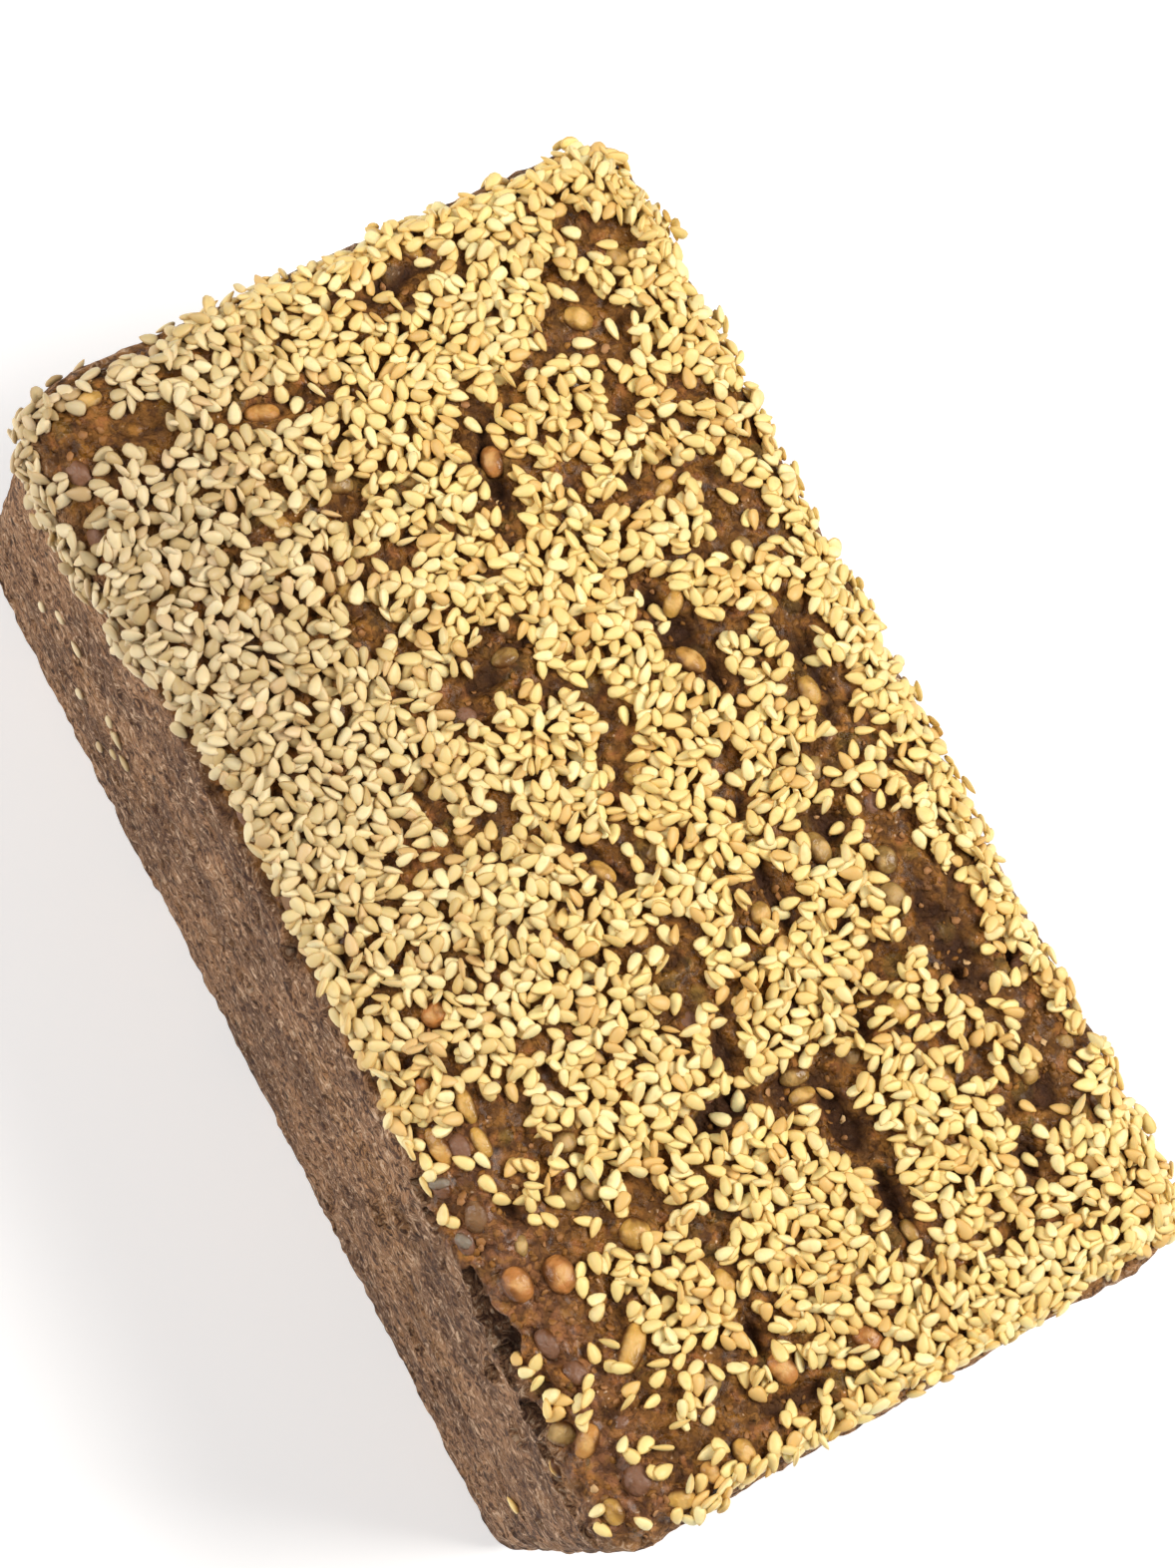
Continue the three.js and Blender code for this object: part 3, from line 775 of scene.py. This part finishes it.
def flake_form(number):
    """A thin, uneven, slightly curled flake, one unit long and wide, closed all round."""
    draw = np.random.default_rng(100 + number)
    corners = 7
    turns = 2 * np.pi * (np.arange(corners) + draw.uniform(-0.3, 0.3, corners)) / corners
    radii = 0.5 * draw.uniform(0.6, 1.0, corners)
    x, y = radii * np.cos(turns), radii * np.sin(turns)
    curl = 6.0 * x * x
    upper = np.stack([x, y, curl + 0.5], 1)
    lower = np.stack([x, y, curl - 0.5], 1)
    points = np.concatenate([upper, lower, [[0, 0, 0.5]], [[0, 0, -0.5]]])
    faces = []
    for corner in range(corners):
        follow = (corner + 1) % corners
        faces.append((2 * corners, corner, follow))
        faces.append((2 * corners + 1, corners + follow, corners + corner))
        faces.append((corner, corners + corner, corners + follow, follow))
    return Form(points, faces, np.zeros(len(points)))


def join_copies(laid, forms):
    """Joins a copy of one of the forms for each thing laid, with what the colours are made from."""
    points, faces, tones, along, rise = [], [], [], [], []
    base = 0
    for number, thing in enumerate(laid):
        form = forms[number % len(forms)]
        points.append(thing.middle + (form.points * thing.size) @ thing.axes)
        faces.extend(tuple(base + corner for corner in loop) for loop in form.faces)
        tones.append(np.full(len(form.points), thing.tone))
        along.append(form.points[:, 0] + 0.5)
        rise.append(form.rise)
        base += len(form.points)
    made = {"tone": np.concatenate(tones), "along": np.concatenate(along), "rise": np.concatenate(rise)}
    return np.concatenate(points), faces, made


# Materials.


class Signal:
    """A node's output. Sums with it add Math nodes, so that shader maths reads as an expression."""

    def __init__(self, finish, socket):
        self.finish = finish
        self.socket = socket

    def maths(self, operation, first, second):
        return self.finish.node("ShaderNodeMath", {"operation": operation}, {0: first, 1: second})

    def __add__(self, other):
        return self.maths("ADD", self, other)

    def __radd__(self, other):
        return self.maths("ADD", other, self)

    def __sub__(self, other):
        return self.maths("SUBTRACT", self, other)

    def __rsub__(self, other):
        return self.maths("SUBTRACT", other, self)

    def __mul__(self, other):
        return self.maths("MULTIPLY", self, other)


class Finish:
    """A material under construction."""

    def __init__(self, name, **constants):
        self.material = bpy.data.materials.new(name)
        self.material.use_nodes = True
        self.tree = self.material.node_tree
        self.shader = self.tree.nodes["Principled BSDF"]
        for label, value in constants.items():
            self.shader.inputs[label.replace("_", " ")].default_value = value

    def node(self, kind, settings=None, inputs=None, output=0):
        """Adds a node: its settings first, then its inputs' values or links. Gives one of its outputs."""
        made = self.tree.nodes.new(kind)
        for label, value in (settings or {}).items():
            setattr(made, label, value)
        for label, value in (inputs or {}).items():
            self.feed(made.inputs[label], value)
        return Signal(self, made.outputs[output])

    def feed(self, socket, value):
        if isinstance(value, Signal):
            self.tree.links.new(value.socket, socket)
        elif socket.type == "RGBA" and len(value) == 3:
            socket.default_value = (*value, 1)
        else:
            socket.default_value = value

    def place(self):
        return self.node("ShaderNodeTexCoord", output="Object")

    def attribute(self, name):
        return self.node("ShaderNodeAttribute", {"attribute_name": name}, output="Fac")

    def noise(self, millimetres, detail=2.0, distortion=0.0, roughness=0.5):
        """Noise from 0 to 1 with features of about that size."""
        values = {
            "Vector": self.place(),
            "Scale": 1 / (millimetres * MM),
            "Detail": detail,
            "Distortion": distortion,
            "Roughness": roughness,
        }
        return self.node("ShaderNodeTexNoise", {}, values, "Fac")

    def granules(self, millimetres, wander):
        """Uneven cells of about that size: how far from each one's middle, and each one's own number."""
        stir = {"Vector": self.place(), "Scale": 0.8 / (millimetres * MM), "Detail": 1.0}
        push = self.node("ShaderNodeTexNoise", {}, stir, "Color")
        shift = (2 * wander * millimetres * MM,) * 3
        sums = {0: push, 1: shift, 2: self.place()}
        moved = self.node("ShaderNodeVectorMath", {"operation": "MULTIPLY_ADD"}, sums)
        cells = {"Vector": moved, "Scale": 1 / (millimetres * MM)}
        return [self.node("ShaderNodeTexVoronoi", {}, cells, output) for output in ("Distance", "Color")]

    def ramp(self, value, low, high, start=0.0, end=1.0):
        """A value brought smoothly from one range to another."""
        values = {"Value": value, "From Min": low, "From Max": high, "To Min": start, "To Max": end}
        return self.node("ShaderNodeMapRange", {"interpolation_type": "SMOOTHSTEP"}, values)

    def mix(self, share, first, second):
        """One colour turning into another."""
        settings = {"data_type": "RGBA", "clamp_factor": True}
        return self.node("ShaderNodeMix", settings, {0: share, 6: first, 7: second}, 2)

    def layers(self, colour, *coats):
        """A colour with others over it, each with the share that it covers."""
        for share, over in coats:
            colour = self.mix(share, colour, over)
        return colour

    def bump(self, height, strength, millimetres, under=None):
        values = {"Height": height, "Strength": strength, "Distance": millimetres * MM}
        if under is not None:
            values["Normal"] = under
        return self.node("ShaderNodeBump", {}, values)

    def apply(self, **sockets):
        for label, value in sockets.items():
            self.feed(self.shader.inputs[label.replace("_", " ")], value)
        return self.material


def crust_finish(colours):
    finish = Finish("baked_crust", Specular_IOR_Level=0.28, Coat_Roughness=0.15, Coat_IOR=1.4)
    fade = finish.ramp
    top, hollow, rim, lump = map(finish.attribute, ("top", "hollow", "rim", "lump"))
    mark, warm, film = map(finish.attribute, ("mark", "warm", "film"))

    broad = finish.noise(15, 3)
    fine = finish.noise(0.7, 3, 0.4)
    grit = finish.noise(2.0, 5, 1.6, 0.75)
    spot, spot_mark = finish.granules(2.4, 0.6)
    pit = fade(spot, 0.34, 0.16) * fade(spot_mark, 0.5, 0.58)
    wall = finish.layers(
        colours.wall,
        (fade(broad, 0.4, 0.62) * 0.5, colours.wall_dark),
        (warm * 0.6 + rim, colours.wall_warm),
        (fade(grit, 0.5, 0.42) * 0.9, colours.wall_dark),
        (fade(grit, 0.54, 0.61) * 0.9, colours.wall_fleck),
        # Painted shade darkens the small pits of the wall.
        (pit * 0.8, colours.hollow),
    )

    rock = finish.noise(2.4, 6, 0.6, 0.62)
    soft = finish.noise(3.2, 2, 0.6)
    swell, kernel = finish.granules(2.6, 0.45)
    gap, grain = finish.granules(0.95, 0.6)
    amber = fade(mark + film * 0.26, 0.84, 0.9) * fade(lump, 0.25, 0.6)
    bare = finish.layers(
        colours.top,
        (fade(rock, 0.5, 0.64) * 0.5, colours.top_grain),
        (fade(kernel, 0.5, 0.62) * fade(swell, 0.55, 0.25) * 0.8, colours.top_ruddy),
        (fade(soft, 0.46, 0.32) * 0.6, colours.top_grey),
        (fade(mark, 0.6, 0.75) * fade(lump, 0.15, 0.5), colours.top_olive),
        (film * fade(soft, 0.36, 0.5) * 0.8, colours.top_film),
        (amber * fade(soft, 0.35, 0.55) * 0.9, colours.top_amber),
        (rim * fade(fine, 0.38, 0.5), colours.wall_warm),
        # Random darker grains, in the same dark as the painted shade.
        (fade(grain, 0.46, 0.3) * 0.45, colours.hollow),
        (fade(grain, 0.58, 0.72) * 0.4, colours.top_grain),
        (fade(grain, 0.78, 0.82) * fade(gap, 0.3, 0.1) * 0.8, colours.wall_fleck),
        # Painted shade in the low places of the bumps and in the creases between the kernels.
        (fade(rock, 0.49, 0.38) * 0.55, colours.hollow),
        (fade(swell, 0.4, 0.66) * 0.4, colours.hollow),
    )
    # Painted shade deep in the cracks, pits and torn holes.
    colour = finish.layers(wall, (top, bare), (hollow * 0.85, colours.hollow))

    wet = fade(finish.noise(2.6, 2), 0.44, 0.57) * (1 - hollow)
    rough = fade(top * wet, 0.0, 1.0, 0.75, 0.24) + (fine - 0.5) * 0.3
    normal = finish.bump((rock * 0.7 - swell * 0.6) * top + (1 - top) * 0.15, 1.0, 1.4)
    normal = finish.bump(top * (1 - gap), 0.8, 0.45, normal)
    normal = finish.bump((grit - pit * 0.3) * (1 - top), 1.0, 2.0, normal)
    normal = finish.bump(fine, 0.7, 0.25, normal)
    gloss = top * wet * (0.1 + film * 0.2)
    return finish.apply(Base_Color=colour, Roughness=rough, Coat_Weight=gloss, Normal=normal)


def seed_finish(name, body, colours):
    """Sesame of one tone, with a browner tip, a thin painted shade along its rim, and painted shade over the
    seeds at the far front.
    """
    finish = Finish(
        name,
        Subsurface_Weight=0.15,
        Subsurface_Radius=(1.0, 0.6, 0.3),
        Subsurface_Scale=0.5 * MM,
        Roughness=0.45,
        Specular_IOR_Level=0.35,
    )
    fade = finish.ramp
    along, rise, tone, cool = map(finish.attribute, ("along", "rise", "tone", "cool"))
    colour = finish.layers(
        body,
        (fade(tone, 0.3, 1.0) * 0.35, colours.toasted),
        (fade(finish.noise(1.6, 2), 0.5, 0.75) * 0.35, colours.toasted),
        # Painted shade along the seed's thin rim.
        (fade(rise * rise, 0.55, 0.0) * 0.55, colours.edge),
        # The seed's browner tip.
        (fade(along, 0.25, 0.0) * 0.7, colours.edge),
        # Painted shade over the seeds at the far front.
        (cool, finish.mix(fade(tone, 0.2, 0.9), colours.cool, colours.dull)),
    )
    normal = finish.bump(finish.noise(0.5, 2), 0.2, 0.12)
    return finish.apply(Base_Color=colour, Normal=normal)


def grain_finish(colours):
    finish = Finish(
        "soaked_grain",
        Subsurface_Weight=0.2,
        Subsurface_Radius=(1.0, 0.5, 0.2),
        Subsurface_Scale=1.2 * MM,
        Specular_IOR_Level=0.4,
    )
    fade = finish.ramp
    tone, rise, along = map(finish.attribute, ("tone", "rise", "along"))
    off = along - 0.5
    shade = finish.noise(2.6, 2, 0.5)
    wobbly_rise = rise + (shade - 0.5) * 1.6
    warm = finish.mix(fade(tone, 0.05, 0.3), colours.amber, colours.golden)
    cold = finish.mix(fade(tone, 0.6, 0.85), colours.olive, colours.grey)
    # Milky middle, with a painted highlight on the crown of the grain.
    heart = fade(off * off, 0.07, 0.0) * fade(wobbly_rise, 0.5, 1.2) * fade(tone, 0.72, 0.5)
    colour = finish.layers(
        warm,
        (fade(tone, 0.35, 0.55), cold),
        (fade(tone, 1.05, 1.25), colours.ash),
        # Painted highlight on the crown, with the milky middle.
        (heart * 0.5, colours.heart),
        # Crust creeping up the sides, also painted shade on the sides of the grain.
        (fade(wobbly_rise, 1.12, 0.15), colours.glaze),
    )
    rough = fade(shade, 0.35, 0.6, 0.25, 0.5)
    normal = finish.bump(finish.noise(1.1, 3, 0.5), 0.6, 0.6)
    return finish.apply(Base_Color=colour, Roughness=rough, Normal=normal)


def bit_finish(name, dark, light, pale):
    """Bits of bran or crumb, each of its own tone."""
    finish = Finish(name, Specular_IOR_Level=0.3)
    fade = finish.ramp
    tone = finish.attribute("tone")
    fine = finish.noise(0.6, 2)
    spread = (tone, light)
    palest = (fade(tone, 0.88, 0.95), pale)
    colour = finish.layers(dark, spread, palest, (fade(fine, 0.5, 0.3) * 0.4, dark))
    normal = finish.bump(fine, 0.5, 0.3)
    return finish.apply(Base_Color=colour, Roughness=0.35 + fine * 0.4, Normal=normal)


def floor_finish(colour):
    finish = Finish("pale_floor", Roughness=0.9, Emission_Color=(1, 1, 1, 1), Emission_Strength=0.3)
    shade = finish.noise(400, 2)
    tone = finish.mix(shade, tuple(level * 0.98 for level in colour), tuple(colour))
    return finish.apply(Base_Color=tone)


# Operators.


class RYE_OT_crust(bpy.types.Operator):
    """Bake the crust, with its lumps, cracks, pits and torn holes"""

    bl_idname = "rye_loaf.crust"
    bl_label = "Crust"

    def execute(self, context):
        sizes = sizes_of(context)
        extent = np.array([sizes.length, sizes.width, sizes.rim_height])
        tall = 1.3 * sizes.cell
        counts = np.round(extent / (sizes.cell, sizes.cell, tall)).astype(int)
        lattice, quads = box_lattice(counts)
        box = lattice / counts * extent - [sizes.length / 2, sizes.width / 2, 0]
        smooth = shape_loaf(box, sizes)
        normals = normals_of(smooth, quads)
        crust = crust_relief(smooth, normals)
        points = smooth + normals * crust.height[:, None]
        points[:, 2] = np.maximum(points[:, 2], 0)
        warm = ramp(-45, -85, smooth[:, 0]) * ramp(45, 75, smooth[:, 2])
        warm = np.maximum(warm, 0.8 * ramp(0.25, 0.6, layered(smooth, 20, 2, 81)))
        attributes = {
            "top": crust.top,
            "hollow": crust.hollow,
            "lump": crust.lump,
            "mark": crust.mark,
            "warm": warm,
            "rim": 0.9 * ramp(89.5, 92.5, smooth[:, 0]) * ramp(64, 76, smooth[:, 2]),
            "film": ramp(16, 36, smooth[:, 0]) * ramp(-34, -46, smooth[:, 1]),
        }
        material = crust_finish(context.scene.rye_loaf.crust)
        piece = make_piece("crust", points, quads.tolist(), attributes, material)
        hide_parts(NODE)
        return {"FINISHED"}


def toppings_of(context):
    sesame = context.scene.rye_loaf.sesame
    size = tuple(round(value / MM, 4) for value in (sesame.length, sesame.width, sesame.thickness))
    return lay_toppings(sizes_of(context), size, sesame.count)


def scatter(name, laid, forms, material):
    """Makes one piece of all the things laid, each a copy of one of the forms."""
    points, faces, made = join_copies(laid, forms)
    make_piece(name, points, faces, made, material)
    return {"FINISHED"}


class RYE_OT_grains(bpy.types.Operator):
    """Set the swollen whole grains in the top crust"""

    bl_idname = "rye_loaf.grains"
    bl_label = "Whole grains"

    def execute(self, context):
        material = grain_finish(context.scene.rye_loaf.grains)
        return scatter("whole_grains", toppings_of(context).grains, [grain_form()], material)


class RYE_OT_sesame(bpy.types.Operator):
    """Lay the sesame seeds on the top, over its rim, and a few on the front wall"""

    bl_idname = "rye_loaf.sesame"
    bl_label = "Sesame"

    def execute(self, context):
        colours = context.scene.rye_loaf.sesame
        laid = toppings_of(context).seeds + self.strays(context)
        kinds = {
            "sesame_pale": (0.0, 0.34, colours.pale),
            "sesame_golden": (0.34, 0.7, colours.golden),
            "sesame_honey": (0.7, 0.91, colours.honey),
            "sesame_toasted": (0.91, 1.01, colours.toasted),
        }
        forms = [seed_form(1.0, 0.0), seed_form(1.06, 0.06), seed_form(0.94, -0.05), seed_form(1.0, 0.1)]
        for name, (low, high, body) in kinds.items():
            some = [thing for thing in laid if low <= thing.tone < high]
            some = [thing._replace(tone=(thing.tone - low) / (high - low)) for thing in some]
            points, faces, made = join_copies(some, forms)
            # Painted shade: how far the seeds at the far front are darkened, strongest towards the far end
            # and the front.
            made["cool"] = 0.7 * ramp(60, -60, points[:, 0]) * ramp(5, -45, points[:, 1])
            make_piece(name, points, faces, made, seed_finish(name, body, colours))
        return {"FINISHED"}

    def strays(self, context):
        """The few seeds stuck to the front wall."""
        sizes = sizes_of(context)
        sesame = context.scene.rye_loaf.sesame
        size = tuple(value / MM for value in (sesame.length, sesame.width, sesame.thickness))
        laid = []
        for number, (x, height, turn) in enumerate(STRAYS):
            v = -sizes.width / 2 - (sizes.rim_height - height)
            steps = np.array([[x, v], [x + 0.5, v], [x, v + 0.5]])
            middle, along, up = shape_loaf(fold(steps[:, 0], steps[:, 1], sizes), sizes)
            along = (along - middle) / np.linalg.norm(along - middle)
            up = (up - middle) / np.linalg.norm(up - middle)
            normal = np.cross(along, up)
            relief = crust_relief(middle[None], normal[None]).height[0]
            forward = along * math.cos(math.radians(turn)) + up * math.sin(math.radians(turn))
            axes = np.stack([forward, np.cross(normal, forward), normal])
            tone = (number * 0.37) % 1
            laid.append(Laid(middle + normal * (relief + 0.35 * size[2]), axes, size, tone, (x, v)))
        return laid


class RYE_OT_flakes(bpy.types.Operator):
    """Scatter bran flakes over the bare stretches of the top"""

    bl_idname = "rye_loaf.flakes"
    bl_label = "Bran flakes"

    def execute(self, context):
        colours = context.scene.rye_loaf
        forms = [flake_form(number) for number in range(7)]
        pale = srgb(214, 176, 124)
        material = bit_finish("bran_flake", colours.crust.top, colours.grains.bran, pale)
        return scatter("bran_flakes", toppings_of(context).flakes, forms, material)


class RYE_OT_crumbs(bpy.types.Operator):
    """Scatter crumbs of crust over the bare stretches of the top"""

    bl_idname = "rye_loaf.crumbs"
    bl_label = "Crumbs"

    def execute(self, context):
        colours = context.scene.rye_loaf.crust
        forms = [crumb_form(number) for number in range(9)]
        light = srgb(122, 84, 40)
        material = bit_finish("crust_crumb", colours.top, light, colours.top_grain)
        return scatter("crust_crumbs", toppings_of(context).crumbs, forms, material)


def point_light(name, power, size, place, aim, colour):
    """A square soft light that looks at a point."""
    data = bpy.data.lights.new(name, "AREA")
    data.energy = power
    data.size = size
    data.color = colour
    light = add_object(name, data)
    light.location = place
    light.rotation_euler = (Vector(aim) - Vector(place)).to_track_quat("-Z", "Y").to_euler()


class RYE_OT_stage(bpy.types.Operator):
    """Set the floor, the lights and the camera"""

    bl_idname = "rye_loaf.stage"
    bl_label = "Stage"

    def execute(self, context):
        settings = context.scene.rye_loaf.stage
        scene = context.scene
        self.make_floor(settings)
        aim = (0, 0, 0.05)
        point_light("key", settings.key, 0.7, (0.35, 0.75, 1.1), aim, (1.0, 0.97, 0.92))
        point_light("fill", settings.fill, 0.9, (-0.55, -0.9, 0.8), aim, (1.0, 0.97, 0.93))

        world = bpy.data.worlds.new("studio")
        world.use_nodes = True
        background = world.node_tree.nodes["Background"]
        background.inputs["Color"].default_value = (*settings.sky, 1)
        background.inputs["Strength"].default_value = settings.sky_strength
        scene.world = world
        scene.view_settings.view_transform = "Standard"
        scene.view_settings.look = "None"
        self.make_camera(scene)
        return {"FINISHED"}

    def make_floor(self, settings):
        size = 2.5
        mesh = bpy.data.meshes.new("floor")
        corners = [(-size, -size, 0), (size, -size, 0), (size, size, 0), (-size, size, 0)]
        mesh.from_pydata(corners, [], [(0, 1, 2, 3)])
        mesh.materials.append(floor_finish(settings.floor))
        floor = add_object("floor", mesh)

    def make_camera(self, scene):
        data = bpy.data.cameras.new("camera")
        data.sensor_width = 36
        data.lens = 103.05
        data.clip_start = 0.02
        camera = add_object("camera", data)
        right = Vector((0.46559, 0.85656, 0.22257))
        up = Vector((-0.88224, 0.42939, 0.19306))
        back = Vector((0.06981, -0.28625, 0.95561))
        turn = Matrix((right, up, back)).transposed()
        place = (0.03941, -0.18933, 0.71143)
        camera.matrix_world = Matrix.Translation(place) @ turn.to_4x4()
        scene.camera = camera


class RYE_PT_panel(bpy.types.Panel):
    """Lists the loaf's settings and operators"""

    bl_label = "Rye loaf"
    bl_idname = "RYE_PT_panel"
    bl_space_type = "VIEW_3D"
    bl_region_type = "UI"
    bl_category = "Rye loaf"

    def draw(self, context):
        settings = context.scene.rye_loaf
        for operator in OPERATORS:
            self.layout.operator(operator.bl_idname)
        for group in (settings.sizes, settings.crust, settings.sesame, settings.grains, settings.stage):
            column = self.layout.column()
            for name in group.__annotations__:
                column.prop(group, name)


GROUPS = (LoafSizes, CrustColours, SesameSettings, GrainColours, StageSettings, LoafSettings)
OPERATORS = (RYE_OT_crust, RYE_OT_grains, RYE_OT_crumbs, RYE_OT_sesame, RYE_OT_flakes, RYE_OT_stage)


def register():
    for made in (*GROUPS, *OPERATORS, RYE_PT_panel):
        bpy.utils.register_class(made)
    bpy.types.Scene.rye_loaf = PointerProperty(type=LoafSettings)


def unregister():
    del bpy.types.Scene.rye_loaf
    for made in reversed((*GROUPS, *OPERATORS, RYE_PT_panel)):
        bpy.utils.unregister_class(made)


def main():
    register()
    bpy.ops.rye_loaf.crust()
    bpy.ops.rye_loaf.grains()
    bpy.ops.rye_loaf.crumbs()
    bpy.ops.rye_loaf.sesame()
    bpy.ops.rye_loaf.flakes()
    bpy.ops.rye_loaf.stage()


if __name__ == "__main__":
    main()
